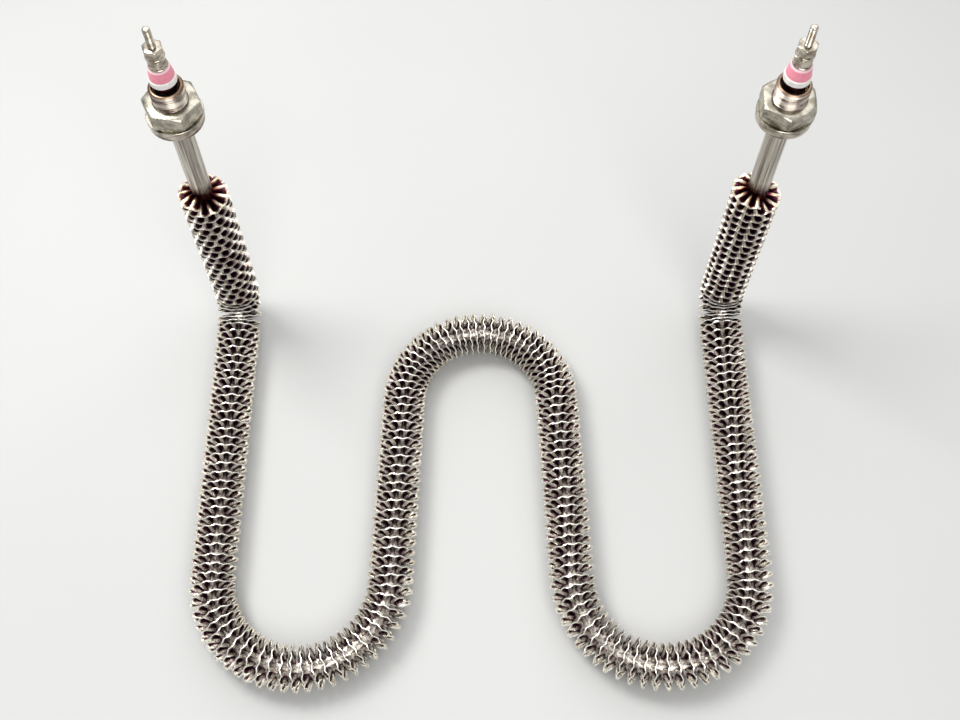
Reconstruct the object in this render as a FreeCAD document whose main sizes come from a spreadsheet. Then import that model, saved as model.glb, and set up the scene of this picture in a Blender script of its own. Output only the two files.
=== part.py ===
import FreeCAD, Part
import math
import os

import Sketcher

# Finned tubular heating element. A steel sheath is bent into a flat W, its two ends stand up square
# to the W, and a crimped strip is wound edge-on round it as fins. Each end carries a threaded
# fitting for the panel it passes through and an insulated stud for the supply.
#
# The W lies on its fins in the XY plane, its bends across X. The ends rise along Z. The origin is on
# the floor under the middle of the whole element. Lengths are in millimetres.

os.makedirs("parts", exist_ok=True)
doc = FreeCAD.newDocument("FinnedHeatingElement")

# Driving dimensions: name, value, what it measures.
SIZES = (
    ("bend_centre_x", 105, "middle plane to the centre of a return bend"),
    ("return_radius", 52, "centreline radius of the two lower return bends"),
    ("top_radius", 48, "centreline radius of the middle bend"),
    ("leg_length", 187, "riser axis to the centres of the return bends"),
    ("top_setback", 71, "riser axis to the centre of the middle bend"),
    ("elbow_radius", 22, "centreline radius of the elbow under each riser"),
    ("finned_height", 125, "centreline of the W up to the last fin of a riser"),
    ("bare_length", 62, "bare sheath between the last fin and the fitting"),
    ("tube_diameter", 12, "outside of the sheath"),
    ("tube_wall", 0.8, "wall of the sheath"),
    ("fin_height", 8, "width of the strip, which is the height of a fin"),
    ("fin_pitch", 6, "distance between turns of the strip"),
    ("fin_thickness", 0.5, "a flat turn that holds as much metal as the crimped one"),
    ("fin_sides", 8, "corners of a turn, in place of a round edge"),
    ("fin_clearance", 0.05, "sheath to the inner edge of the strip"),
    ("pin_diameter", 4, "cold pin inside the sheath"),
    ("cold_length", 122, "cold pin inside the sheath, from its end down to the coil"),
    ("packing_sides", 8, "sides of the filling and of the coil's envelope"),
    ("packing_clearance", 0.05, "sheath to filling, and filling to pin and coil"),
    ("collar_diameter", 29, "round collar of the fitting"),
    ("collar_thickness", 4, "thickness of that collar"),
    ("fitting_thread", 18, "major diameter of the fitting's thread"),
    ("fitting_pitch", 1.5, "pitch of the fitting's thread"),
    ("fitting_stand_out", 10.4, "thread left free above the mounting nut"),
    ("fitting_chamfer", 0.8, "chamfer at the mouth of the fitting"),
    ("mouth_share", 0.46, "wall of the mouth's counterbore, as a share of sheath to thread"),
    ("mouth_depth", 9, "depth of that counterbore"),
    ("mount_washer_diameter", 30, "washer under the mounting nut"),
    ("mount_washer_thickness", 2, "thickness of that washer"),
    ("mount_nut_flats", 27, "mounting nut across its flats"),
    ("mount_nut_thickness", 10, "thickness of the mounting nut"),
    ("left_nut_turn", 25.8, "degrees from the front to a corner of the left mounting nut"),
    ("right_nut_turn", -4.1, "the same for the right mounting nut"),
    ("sheath_stand_out", 3.6, "end of the sheath above the mouth of the fitting"),
    ("seal_overhang", 1, "white ring on the end of the sheath, out past its side"),
    ("seal_thickness", 4, "thickness of that ring"),
    ("seal_spigot", 5, "depth to which the ring plugs the sheath"),
    ("insulator_base_diameter", 13, "foot of the tapered insulator"),
    ("insulator_top_diameter", 11.2, "top of the tapered insulator"),
    ("insulator_height", 6.6, "height of the insulator"),
    ("insulator_edge", 0.8, "worn edge round the top of the insulator"),
    ("stud_thread", 4, "major diameter of the terminal's thread"),
    ("stud_pitch", 0.7, "pitch of the terminal's thread"),
    ("stud_stand_out", 12.2, "stud left free above the upper nut"),
    ("stud_chamfer", 1, "chamfer at the tip of the stud"),
    ("stud_washer_diameter", 10, "washers under the terminal nuts"),
    ("stud_washer_thickness", 1, "thickness of those washers"),
    ("stud_nut_flats", 9.2, "terminal nuts across their flats"),
    ("stud_nut_thickness", 5.6, "thickness of the terminal nuts"),
    ("lower_nut_turn", 21, "degrees from the front to a corner of the lower terminal nuts, inwards"),
    ("upper_nut_turn", 19, "the same for the upper terminal nuts"),
    ("running_clearance", 0.1, "insulator and seal round the terminal pin"),
    ("thread_clearance", 0.02, "nut to thread, and fitting to sheath"),
    ("mount_washer_play", 0.25, "mounting washer to the fitting's thread"),
    ("stud_washer_play", 0.2, "terminal washers to the stud"),
    ("nut_face_share", 0.95, "bearing face of a nut as a share of its flats"),
    ("nut_bevel", 30, "degrees of the bevel on a nut's corners"),
    ("thread_depth_share", 0.6495, "pitch diameter of a thread lies this many pitches inside"),
    ("cut_overrun", 0.1, "how far a cut that bevels a nut runs past its corners"),
)

# Places worked out from the driving dimensions.
PLACES = (
    ("tube_radius", "Sizes.tube_diameter / 2"),
    ("bore_radius", "tube_radius - Sizes.tube_wall"),
    ("fin_radius", "tube_radius + Sizes.fin_height"),
    ("corner_reach", "Sizes.mount_nut_flats / 2 / cos(30 deg)"),
    ("riser_x", "Sizes.bend_centre_x + Sizes.return_radius"),
    ("riser_y", "(Sizes.leg_length + Sizes.return_radius + fin_radius - corner_reach) / 2"),
    ("return_y", "riser_y - Sizes.leg_length"),
    ("top_y", "riser_y - Sizes.top_setback"),
    ("elbow_y", "riser_y - Sizes.elbow_radius"),
    ("elbow_z", "fin_radius + Sizes.elbow_radius"),
    ("centre_rise", "Sizes.leg_length - Sizes.top_setback"),
    ("centre_gap", "sqrt(Sizes.bend_centre_x ^ 2 + centre_rise ^ 2)"),
    ("radius_sum", "Sizes.return_radius + Sizes.top_radius"),
    ("slant", "atan(Sizes.bend_centre_x / centre_rise) - asin(radius_sum / centre_gap)"),
    ("return_sweep", "180 deg - slant"),
    ("top_sweep", "180 deg - 2 * slant"),
    ("inner_leg", "sqrt(centre_gap ^ 2 - radius_sum ^ 2)"),
    ("outer_leg", "Sizes.leg_length - Sizes.elbow_radius"),
    ("finned_riser", "Sizes.finned_height - Sizes.elbow_radius"),
    ("riser_turns", "round(finned_riser / Sizes.fin_pitch)"),
    ("elbow_turns", "round(Sizes.elbow_radius * 90 deg / 1 rad / Sizes.fin_pitch)"),
    ("outer_turns", "round(outer_leg / Sizes.fin_pitch)"),
    ("return_turns", "round(Sizes.return_radius * return_sweep / 1 rad / Sizes.fin_pitch)"),
    ("inner_turns", "round(inner_leg / Sizes.fin_pitch)"),
    ("top_turns", "round(Sizes.top_radius * top_sweep / 1 rad / Sizes.fin_pitch)"),
    ("fitting_depth", "Sizes.fitting_pitch * Sizes.thread_depth_share / 2"),
    ("fitting_pitch_radius", "Sizes.fitting_thread / 2 - fitting_depth"),
    ("fitting_bore", "tube_radius + Sizes.thread_clearance"),
    ("fitting_wall", "Sizes.fitting_thread / 2 - fitting_bore"),
    ("mouth_radius", "fitting_bore + Sizes.mouth_share * fitting_wall"),
    ("mouth_wall", "Sizes.fitting_thread / 2 - mouth_radius"),
    ("mouth_chamfer", "min(Sizes.fitting_chamfer; mouth_wall / 2)"),
    ("stud_depth", "Sizes.stud_pitch * Sizes.thread_depth_share / 2"),
    ("stud_pitch_radius", "Sizes.stud_thread / 2 - stud_depth"),
    ("collar_z", "fin_radius + Sizes.finned_height + Sizes.bare_length"),
    ("mount_washer_z", "collar_z + Sizes.collar_thickness"),
    ("mount_nut_z", "mount_washer_z + Sizes.mount_washer_thickness"),
    ("free_thread_z", "mount_nut_z + Sizes.mount_nut_thickness"),
    ("mouth_z", "free_thread_z + Sizes.fitting_stand_out"),
    ("sheath_top", "mouth_z + Sizes.sheath_stand_out"),
    ("filling_top", "sheath_top - Sizes.seal_spigot"),
    ("coil_top", "sheath_top - Sizes.cold_length"),
    ("insulator_z", "sheath_top + Sizes.seal_thickness"),
    ("lower_washer_z", "insulator_z + Sizes.insulator_height"),
    ("lower_nut_z", "lower_washer_z + Sizes.stud_washer_thickness"),
    ("upper_washer_z", "lower_nut_z + Sizes.stud_nut_thickness"),
    ("upper_nut_z", "upper_washer_z + Sizes.stud_washer_thickness"),
    ("free_stud_z", "upper_nut_z + Sizes.stud_nut_thickness"),
    ("stud_tip_z", "free_stud_z + Sizes.stud_stand_out"),
)

sizes = doc.addObject("Spreadsheet::Sheet", "Sizes")
for row, (alias, size, note) in enumerate(SIZES, 1):
    sizes.set(f"A{row}", note)
    sizes.set(f"B{row}", str(size))
    sizes.setAlias(f"B{row}", alias)
doc.recompute()

places = doc.addObject("Spreadsheet::Sheet", "Places")
for row, (alias, formula) in enumerate(PLACES, 1):
    places.set(f"A{row}", alias)
    places.set(f"B{row}", "=" + formula)
    places.setAlias(f"B{row}", alias)
doc.recompute()

sub_parts = []


def value(name):
    """The number in a cell of either sheet. Angles are in degrees."""
    sheet = sizes if name in [alias for alias, _, _ in SIZES] else places
    cell = getattr(sheet, name)
    return cell.Value if hasattr(cell, "Value") else float(cell)


def place(piece, x, y, z):
    """Bind the three coordinates of a piece to formulas."""
    for axis, formula in zip("xyz", (x, y, z)):
        piece.setExpression(f"Placement.Base.{axis}", formula)


def new_body(label):
    body = doc.addObject("PartDesign::Body", label)
    body.Label = label
    sub_parts.append(body)
    return body


def origin_feature(body, role):
    return [feature for feature in body.Origin.OriginFeatures if feature.Role == role][0]


def new_sketch(body, plane, name):
    sketch = body.newObject("Sketcher::SketchObject", f"{body.Name}_{name}")
    sketch.AttachmentSupport = (origin_feature(body, plane), [""])
    sketch.MapMode = "FlatFace"
    return sketch


def pin_down(sketch, kind, geometry, point, formula):
    """Tie one coordinate of a sketch point to a formula. A coordinate of zero lies on the axis."""
    if formula == "0":
        axis = -2 if kind == "DistanceX" else -1
        sketch.addConstraint(Sketcher.Constraint("PointOnObject", geometry, point, axis))
        return
    start = sketch.getPoint(geometry, point)
    distance = start.x if kind == "DistanceX" else start.y
    constraint = Sketcher.Constraint(kind, -1, 1, geometry, point, distance)
    sketch.setExpression(f"Constraints[{sketch.addConstraint(constraint)}]", formula)


def number(formula):
    """What a formula comes to now, for the first guess of a sketch point."""
    result = sizes.evalExpression(formula)
    return result.Value if hasattr(result, "Value") else float(result)


def draw_outline(sketch, corners):
    """A closed outline through corners, each a pair of formulas for its two coordinates."""
    points = [FreeCAD.Vector(number(across), number(up), 0) for across, up in corners]
    first = sketch.GeometryCount
    for start, end in zip(points, points[1:] + points[:1]):
        sketch.addGeometry(Part.LineSegment(start, end))
    for index, (across, up) in enumerate(corners):
        before = first + (index - 1) % len(corners)
        sketch.addConstraint(Sketcher.Constraint("Coincident", before, 2, first + index, 1))
        pin_down(sketch, "DistanceX", first + index, 1, across)
        pin_down(sketch, "DistanceY", first + index, 1, up)


def draw_polygon(sketch, sides, flats, centre="0"):
    """A regular polygon with the given distance across its flats, two of them upright."""
    middle = FreeCAD.Vector(number(centre), 0, 0)
    radius = f"({flats}) / 2 / cos(180 deg / {sides})"
    circle = sketch.addGeometry(Part.Circle(middle, FreeCAD.Vector(0, 0, 1), number(radius)), True)
    pin_down(sketch, "DistanceX", circle, 3, centre)
    pin_down(sketch, "DistanceY", circle, 3, "0")
    size = sketch.addConstraint(Sketcher.Constraint("Radius", circle, number(radius)))
    sketch.setExpression(f"Constraints[{size}]", radius)
    corners = []
    for index in range(sides):
        angle = math.pi * (2 * index + 1) / sides
        reach = number(radius)
        corners.append(middle + FreeCAD.Vector(reach * math.cos(angle), reach * math.sin(angle), 0))
    first = sketch.GeometryCount
    for start, end in zip(corners, corners[1:] + corners[:1]):
        sketch.addGeometry(Part.LineSegment(start, end))
    for index in range(sides):
        before = first + (index - 1) % sides
        sketch.addConstraint(Sketcher.Constraint("Coincident", before, 2, first + index, 1))
        sketch.addConstraint(Sketcher.Constraint("PointOnObject", first + index, 1, circle))
    for index in range(1, sides):
        sketch.addConstraint(Sketcher.Constraint("Equal", first, first + index))
    sketch.addConstraint(Sketcher.Constraint("Vertical", first + sides - 1))


def turned_piece(label, outline):
    """A piece turned about its own Z axis from an outline of radius and height formulas."""
    body = new_body(label)
    sketch = new_sketch(body, "XZ_Plane", "outline")
    draw_outline(sketch, outline)
    turning = body.newObject("PartDesign::Revolution", f"{label}_turning")
    turning.Profile = sketch
    turning.ReferenceAxis = (sketch, ["V_Axis"])
    turning.Angle = 360
    return body


def ring(label, bore, outside, thickness):
    """A flat ring with square edges."""
    return turned_piece(label, [(bore, "0"), (outside, "0"), (outside, thickness), (bore, thickness)])


def hexagon_nut(label, flats, thickness, bore_radius):
    """A nut with a plain bore and its corners bevelled on both faces."""
    body = new_body(label)
    blank = new_sketch(body, "XY_Plane", "blank")
    draw_polygon(blank, 6, flats)
    pad = body.newObject("PartDesign::Pad", f"{label}_pad")
    pad.Profile = blank
    pad.setExpression("Length", thickness)
    face = f"{flats} / 2 * Sizes.nut_face_share"
    corner = f"{flats} / 2 / cos(30 deg) + Sizes.cut_overrun"
    drop = f"(({corner}) - ({face})) * tan(Sizes.nut_bevel * 1 deg)"
    cuts = new_sketch(body, "XZ_Plane", "cuts")
    draw_outline(cuts, [(face, "0"), (corner, "0"), (corner, drop)])
    draw_outline(cuts, [(face, thickness), (corner, thickness), (corner, f"{thickness} - ({drop})")])
    draw_outline(cuts, [("0", "0"), (bore_radius, "0"), (bore_radius, thickness), ("0", thickness)])
    groove = body.newObject("PartDesign::Groove", f"{label}_turning")
    groove.Profile = cuts
    groove.ReferenceAxis = (cuts, ["V_Axis"])
    groove.Angle = 360
    return body


def one_turn(body, plane, centre="0"):
    """One turn of the fin strip, standing square on the sheath."""
    sketch = new_sketch(body, plane, "turn")
    sides = int(value("fin_sides"))
    draw_polygon(sketch, sides, "2 * Places.fin_radius", centre)
    draw_polygon(sketch, sides, "2 * (Places.tube_radius + Sizes.fin_clearance)", centre)
    pad = body.newObject("PartDesign::Pad", f"{body.Name}_pad")
    pad.Profile = sketch
    pad.Midplane = True
    pad.setExpression("Length", "Sizes.fin_thickness")
    return pad


def straight_fins(label, length, turns, direction):
    """The turns on a straight run. Local Z points along the run."""
    body = new_body(label)
    body.AllowCompound = True
    pad = one_turn(body, "XY_Plane")
    pattern = body.newObject("PartDesign::LinearPattern", f"{label}_pattern")
    pattern.Originals = [pad]
    pattern.Direction = (origin_feature(body, "Z_Axis"), [""])
    pattern.setExpression("Length", f"{length} * ({turns} - 1) / {turns}")
    pattern.setExpression("Occurrences", turns)
    body.Tip = pattern
    body.Placement.Rotation = FreeCAD.Rotation(FreeCAD.Vector(0, 0, 1), direction)
    return body


def bend_fins(label, radius, sweep, turns, rotation):
    """The turns on a bend. Local Z is the axis of the bend, and local X points at the first turn."""
    body = new_body(label)
    body.AllowCompound = True
    pad = one_turn(body, "XZ_Plane", radius)
    pattern = body.newObject("PartDesign::PolarPattern", f"{label}_pattern")
    pattern.Originals = [pad]
    pattern.Axis = (origin_feature(body, "Z_Axis"), [""])
    pattern.setExpression("Angle", f"{sweep} * ({turns} - 1) / {turns}")
    pattern.setExpression("Occurrences", turns)
    body.Tip = pattern
    body.Placement.Rotation = rotation
    return body


def half_step(length, turns):
    """Half the distance from turn to turn, where the first turn of a stretch stands."""
    return f"{length} / {turns} / 2"


# The centreline of the sheath: a riser, an elbow, a leg and a return bend on each side, and the
# slanting inner legs that meet the middle bend.


def on_circle(centre, radius, degrees):
    angle = math.radians(degrees)
    return centre + FreeCAD.Vector(radius * math.cos(angle), radius * math.sin(angle), 0)


def arc(start, middle, end):
    return Part.Arc(start, middle, end).toShape()


def side_edges(side, top):
    """The edges from the top of one riser to the middle bend, for side -1 or 1."""
    x = side * value("riser_x")
    floor_z = value("fin_radius")
    elbow = value("elbow_radius")
    riser_foot = FreeCAD.Vector(x, value("riser_y"), value("elbow_z"))
    leg_top = FreeCAD.Vector(x, value("elbow_y"), floor_z)
    elbow_centre = FreeCAD.Vector(x, value("elbow_y"), value("elbow_z"))
    back_off = elbow * math.sqrt(0.5)
    elbow_middle = elbow_centre + FreeCAD.Vector(0, back_off, -back_off)
    leg_foot = FreeCAD.Vector(x, value("return_y"), floor_z)
    bend = FreeCAD.Vector(side * value("bend_centre_x"), value("return_y"), floor_z)
    radius = value("return_radius")
    slant = value("slant")
    bend_end = on_circle(bend, radius, 180 + slant if side > 0 else -slant)
    bend_middle = on_circle(bend, radius, -90 + side * slant / 2)
    middle_bend = FreeCAD.Vector(0, value("top_y"), floor_z)
    inner_end = on_circle(middle_bend, value("top_radius"), slant if side > 0 else 180 - slant)
    return [
        Part.LineSegment(FreeCAD.Vector(x, value("riser_y"), top), riser_foot).toShape(),
        arc(riser_foot, elbow_middle, leg_top),
        Part.LineSegment(leg_top, leg_foot).toShape(),
        arc(leg_foot, bend_middle, bend_end),
        Part.LineSegment(bend_end, inner_end).toShape(),
    ]


def centreline(label, top):
    """The whole centreline from riser to riser, its two ends at the height top."""
    left = side_edges(-1, top)
    right = side_edges(1, top)
    middle_bend = FreeCAD.Vector(0, value("top_y"), value("fin_radius"))
    crown = on_circle(middle_bend, value("top_radius"), 90)
    over = arc(left[-1].lastVertex().Point, crown, right[-1].lastVertex().Point)
    path = doc.addObject("Part::Feature", label)
    path.Shape = Part.Wire(Part.__sortEdges__(left + [over] + right))
    return path


def section_at_end(section, top_cell):
    """Stand a section square on the left end of a centreline that ends at the height in top_cell."""
    place(section, "-Places.riser_x", "Places.riser_y", f"Places.{top_cell}")
    return section


def round_section(label, radius, top_cell):
    section = doc.addObject("Part::Circle", label)
    section.setExpression("Radius", radius)
    return section_at_end(section, top_cell)


def flat_sided_section(label, corner_radius, top_cell):
    section = doc.addObject("Part::RegularPolygon", label)
    section.setExpression("Polygon", "Sizes.packing_sides")
    section.setExpression("Circumradius", corner_radius)
    return section_at_end(section, top_cell)


def swept(label, section, path):
    """A solid of one section along a centreline."""
    sweep = doc.addObject("Part::Sweep", label)
    sweep.Label = label
    sweep.Sections = [section]
    sweep.Spine = (path, [])
    sweep.Solid = True
    sweep.Frenet = False
    return sweep


def hollow(label, solid, core):
    """A swept solid with a swept core taken out of it."""
    cut = doc.addObject("Part::Cut", label)
    cut.Label = label
    cut.Base = solid
    cut.Tool = core
    return cut


def make_sheath():
    path = centreline("sheath_path", value("sheath_top"))
    outside = round_section("sheath_outline", "Places.tube_radius", "sheath_top")
    inside = round_section("bore_outline", "Places.bore_radius", "sheath_top")
    return hollow("sheath", swept("sheath_body", outside, path), swept("sheath_bore", inside, path))


def make_filling():
    """It touches the sheath at its corners. Its channel clears the pin at the flats."""
    path = centreline("filling_path", value("filling_top"))
    corner = "Places.bore_radius - Sizes.packing_clearance"
    flat = "Sizes.pin_diameter / 2 + Sizes.packing_clearance"
    channel_corner = f"({flat}) / cos(180 deg / Sizes.packing_sides)"
    outside = flat_sided_section("filling_outline", corner, "filling_top")
    inside = flat_sided_section("channel_outline", channel_corner, "filling_top")
    body = swept("filling_body", outside, path)
    return hollow("magnesia_filling", body, swept("filling_channel", inside, path))


def make_coil():
    """The coil from cold pin to cold pin, as the envelope of its turns."""
    path = centreline("coil_path", value("coil_top"))
    corner = "Sizes.pin_diameter / 2 / cos(180 deg / Sizes.packing_sides)"
    return swept("resistance_coil", flat_sided_section("coil_outline", corner, "coil_top"), path)


sub_parts += [make_sheath(), make_filling(), make_coil()]

# The fins, one node for each stretch of the sheath.
down = FreeCAD.Vector(0, 0, -1)
forward = FreeCAD.Vector(0, -1, 0)


def turn_about_z(degrees):
    return FreeCAD.Rotation(FreeCAD.Vector(0, 0, 1), degrees)


def first_angle(start, sweep_cell, turns_cell):
    """The direction of the first turn of a bend that starts at the angle start."""
    return start + value(sweep_cell) / value(turns_cell) / 2


def make_side_fins(name, side):
    """The five finned stretches of one side, for side -1 or 1."""
    x = f"{side} * Places.riser_x"
    slant = value("slant")
    riser = straight_fins(f"{name}_riser_fins", "Places.finned_riser", "Places.riser_turns", down)
    riser_step = half_step("Places.finned_riser", "Places.riser_turns")
    place(riser, x, "Places.riser_y", f"Places.fin_radius + Sizes.finned_height - {riser_step}")
    outer = straight_fins(f"{name}_outer_leg_fins", "Places.outer_leg", "Places.outer_turns", forward)
    outer_step = half_step("Places.outer_leg", "Places.outer_turns")
    place(outer, x, f"Places.elbow_y - {outer_step}", "Places.fin_radius")

    # The elbow's axis lies along X. Its first turn is next to the riser, behind the axis.
    elbow_start = FreeCAD.Vector(0, 1, 0)
    quarter_step = 90 / value("elbow_turns") / 2
    tilt = FreeCAD.Rotation(FreeCAD.Vector(-1, 0, 0), quarter_step)
    upright = FreeCAD.Rotation(elbow_start, FreeCAD.Vector(0, 0, -1), FreeCAD.Vector(-1, 0, 0), "XZY")
    elbow_sweep = "90 deg"
    elbow = bend_fins(
        f"{name}_elbow_fins", "Sizes.elbow_radius", elbow_sweep, "Places.elbow_turns", tilt * upright
    )
    place(elbow, x, "Places.elbow_y", "Places.elbow_z")

    bend_start = 180 + slant if side > 0 else 180
    bend_turn = turn_about_z(first_angle(bend_start, "return_sweep", "return_turns"))
    bend = bend_fins(
        f"{name}_return_bend_fins",
        "Sizes.return_radius",
        "Places.return_sweep",
        "Places.return_turns",
        bend_turn,
    )
    place(bend, f"{side} * Sizes.bend_centre_x", "Places.return_y", "Places.fin_radius")

    # The inner leg leans towards the middle plane on its way from the return bend to the middle bend.
    lean = turn_about_z(side * slant).multVec(FreeCAD.Vector(0, 1, 0))
    inner = straight_fins(f"{name}_inner_leg_fins", "Places.inner_leg", "Places.inner_turns", lean)
    inner_step = half_step("Places.inner_leg", "Places.inner_turns")
    foot_x = "Sizes.bend_centre_x - Sizes.return_radius * cos(Places.slant)"
    foot_y = "Places.return_y - Sizes.return_radius * sin(Places.slant)"
    place(
        inner,
        f"{side} * ({foot_x} - {inner_step} * sin(Places.slant))",
        f"{foot_y} + {inner_step} * cos(Places.slant)",
        "Places.fin_radius",
    )


for name, side in (("left", -1), ("right", 1)):
    make_side_fins(name, side)

top_turn = turn_about_z(first_angle(value("slant"), "top_sweep", "top_turns"))
top_bend = bend_fins("top_bend_fins", "Sizes.top_radius", "Places.top_sweep", "Places.top_turns", top_turn)
place(top_bend, "0", "Places.top_y", "Places.fin_radius")


def threaded_bushing(label):
    """Collar and thread. Under the nut the thread is drawn at its pitch radius, above it in full."""
    bore = "Places.fitting_bore"
    engaged = "Places.fitting_pitch_radius"
    full = "Sizes.fitting_thread / 2"
    mouth = "Places.mouth_radius"
    nut_top = "Places.free_thread_z - Places.collar_z"
    height = "Places.mouth_z - Places.collar_z"
    return turned_piece(
        label,
        [
            (bore, "0"),
            ("Sizes.collar_diameter / 2", "0"),
            ("Sizes.collar_diameter / 2", "Sizes.collar_thickness"),
            (engaged, "Sizes.collar_thickness"),
            (engaged, nut_top),
            (full, nut_top),
            (full, f"{height} - Places.mouth_chamfer"),
            (f"{full} - Places.mouth_chamfer", height),
            (mouth, height),
            (mouth, f"{height} - Sizes.mouth_depth"),
            (bore, f"{height} - Sizes.mouth_depth"),
        ],
    )


def seal_ring(label):
    """A white ring on the end of the sheath, with a spigot that plugs it."""
    bore = "Sizes.pin_diameter / 2 + Sizes.running_clearance"
    spigot = "Places.bore_radius - Sizes.running_clearance"
    outside = "Places.tube_radius + Sizes.seal_overhang"
    top = "Sizes.seal_spigot + Sizes.seal_thickness"
    return turned_piece(
        label,
        [
            (bore, "0"),
            (spigot, "0"),
            (spigot, "Sizes.seal_spigot"),
            (outside, "Sizes.seal_spigot"),
            (outside, top),
            (bore, top),
        ],
    )


def insulator(label):
    """The tapered ceramic bush that holds the stud clear of the sheath."""
    bore = "Places.stud_pitch_radius + Sizes.running_clearance"
    edge = "Sizes.insulator_edge"
    top = "Sizes.insulator_top_diameter / 2"
    return turned_piece(
        label,
        [
            (bore, "0"),
            ("Sizes.insulator_base_diameter / 2", "0"),
            (top, f"Sizes.insulator_height - {edge}"),
            (f"{top} - {edge}", "Sizes.insulator_height"),
            (bore, "Sizes.insulator_height"),
        ],
    )


def terminal_pin(label):
    """The cold pin inside the sheath and the stud on its end, one piece."""
    pin = "Sizes.pin_diameter / 2"
    engaged = "Places.stud_pitch_radius"
    full = "Sizes.stud_thread / 2"
    shoulder = "Places.insulator_z - Places.coil_top"
    nut_top = "Places.free_stud_z - Places.coil_top"
    tip = "Places.stud_tip_z - Places.coil_top"
    return turned_piece(
        label,
        [
            ("0", "0"),
            (pin, "0"),
            (pin, shoulder),
            (engaged, shoulder),
            (engaged, nut_top),
            (full, nut_top),
            (full, f"{tip} - Sizes.stud_chamfer"),
            (f"{full} - Sizes.stud_chamfer", tip),
            ("0", tip),
        ],
    )


def make_end(name, side):
    """The fitting and the terminal on one riser, for side -1 or 1."""
    mount_washer = ring(
        f"{name}_mounting_washer",
        "Sizes.fitting_thread / 2 + Sizes.mount_washer_play",
        "Sizes.mount_washer_diameter / 2",
        "Sizes.mount_washer_thickness",
    )
    mount_nut = hexagon_nut(
        f"{name}_mounting_nut",
        "Sizes.mount_nut_flats",
        "Sizes.mount_nut_thickness",
        "Places.fitting_pitch_radius + Sizes.thread_clearance",
    )
    stack = [
        (threaded_bushing(f"{name}_threaded_bushing"), "Places.collar_z"),
        (mount_washer, "Places.mount_washer_z"),
        (mount_nut, "Places.mount_nut_z"),
        (seal_ring(f"{name}_seal_ring"), "Places.filling_top"),
        (insulator(f"{name}_insulator"), "Places.insulator_z"),
        (terminal_pin(f"{name}_terminal_pin"), "Places.coil_top"),
    ]
    turns = {mount_nut: value(f"{name}_nut_turn")}
    for level in ("lower", "upper"):
        washer = ring(
            f"{name}_{level}_terminal_washer",
            "Sizes.stud_thread / 2 + Sizes.stud_washer_play",
            "Sizes.stud_washer_diameter / 2",
            "Sizes.stud_washer_thickness",
        )
        nut = hexagon_nut(
            f"{name}_{level}_terminal_nut",
            "Sizes.stud_nut_flats",
            "Sizes.stud_nut_thickness",
            "Places.stud_pitch_radius + Sizes.thread_clearance",
        )
        stack.append((washer, f"Places.{level}_washer_z"))
        stack.append((nut, f"Places.{level}_nut_z"))
        turns[nut] = -side * value(f"{level}_nut_turn")
    for piece, height in stack:
        piece.Placement.Rotation = turn_about_z(turns.get(piece, 0))
        place(piece, f"{side} * Places.riser_x", "Places.riser_y", height)


for name, side in (("left", -1), ("right", 1)):
    make_end(name, side)

doc.recompute()

for thing in doc.Objects:
    if "Invalid" in thing.State or "Error" in thing.State:
        raise RuntimeError(f"{thing.Label} did not build: {thing.State}")
for piece in sub_parts:
    if piece.Shape.isNull() or not piece.Shape.isValid():
        raise RuntimeError(f"{piece.Label} has no valid shape")

for piece in sub_parts:
    piece.Shape.exportStep(f"parts/{piece.Label}.step")
    print(f"{piece.Label}: {len(piece.Shape.Solids)} solids, {piece.Shape.Volume:.1f} mm3")
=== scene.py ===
import math

import bpy
import numpy as np
from mathutils import Matrix, Vector


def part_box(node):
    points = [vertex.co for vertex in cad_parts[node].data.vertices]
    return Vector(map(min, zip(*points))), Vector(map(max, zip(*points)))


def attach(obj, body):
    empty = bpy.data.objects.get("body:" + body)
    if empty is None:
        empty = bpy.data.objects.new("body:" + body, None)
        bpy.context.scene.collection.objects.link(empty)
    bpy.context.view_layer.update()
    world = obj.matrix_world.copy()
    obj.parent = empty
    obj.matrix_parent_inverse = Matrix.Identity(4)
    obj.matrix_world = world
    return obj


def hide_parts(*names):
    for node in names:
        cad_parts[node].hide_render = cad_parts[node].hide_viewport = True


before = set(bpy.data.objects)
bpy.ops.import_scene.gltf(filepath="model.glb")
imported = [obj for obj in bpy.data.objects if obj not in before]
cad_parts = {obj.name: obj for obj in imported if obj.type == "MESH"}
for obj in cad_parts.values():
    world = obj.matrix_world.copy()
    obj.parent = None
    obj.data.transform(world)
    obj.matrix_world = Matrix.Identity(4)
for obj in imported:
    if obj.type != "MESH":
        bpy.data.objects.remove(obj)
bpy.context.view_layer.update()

# A finned tubular heating element: a bent steel sheath with a crimped strip wound edge-on round it,
# and a threaded fitting and a stud terminal on each end. Everything is in metres.

MM = 0.001

# Sizes of the sheath and of the route that it is bent along.
TUBE_RADIUS = 6 * MM
FIN_RADIUS = 14 * MM
FINNED_HEIGHT = 125 * MM
ELBOW_RADIUS = 22 * MM
RETURN_RADIUS = 52 * MM
TOP_RADIUS = 48 * MM
TOP_SETBACK = 71 * MM
STRIP_PITCH = 6 * MM

# Where the winding runs tighter or looser than that.
UNEVEN_PITCHES = {
    "left_outer_leg": 5.7 * MM,
    "left_return_bend": 5.7 * MM,
    "left_inner_leg": 5.6 * MM,
    "top_bend": 5.1 * MM,
    "right_riser": 6.5 * MM,
}

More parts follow.
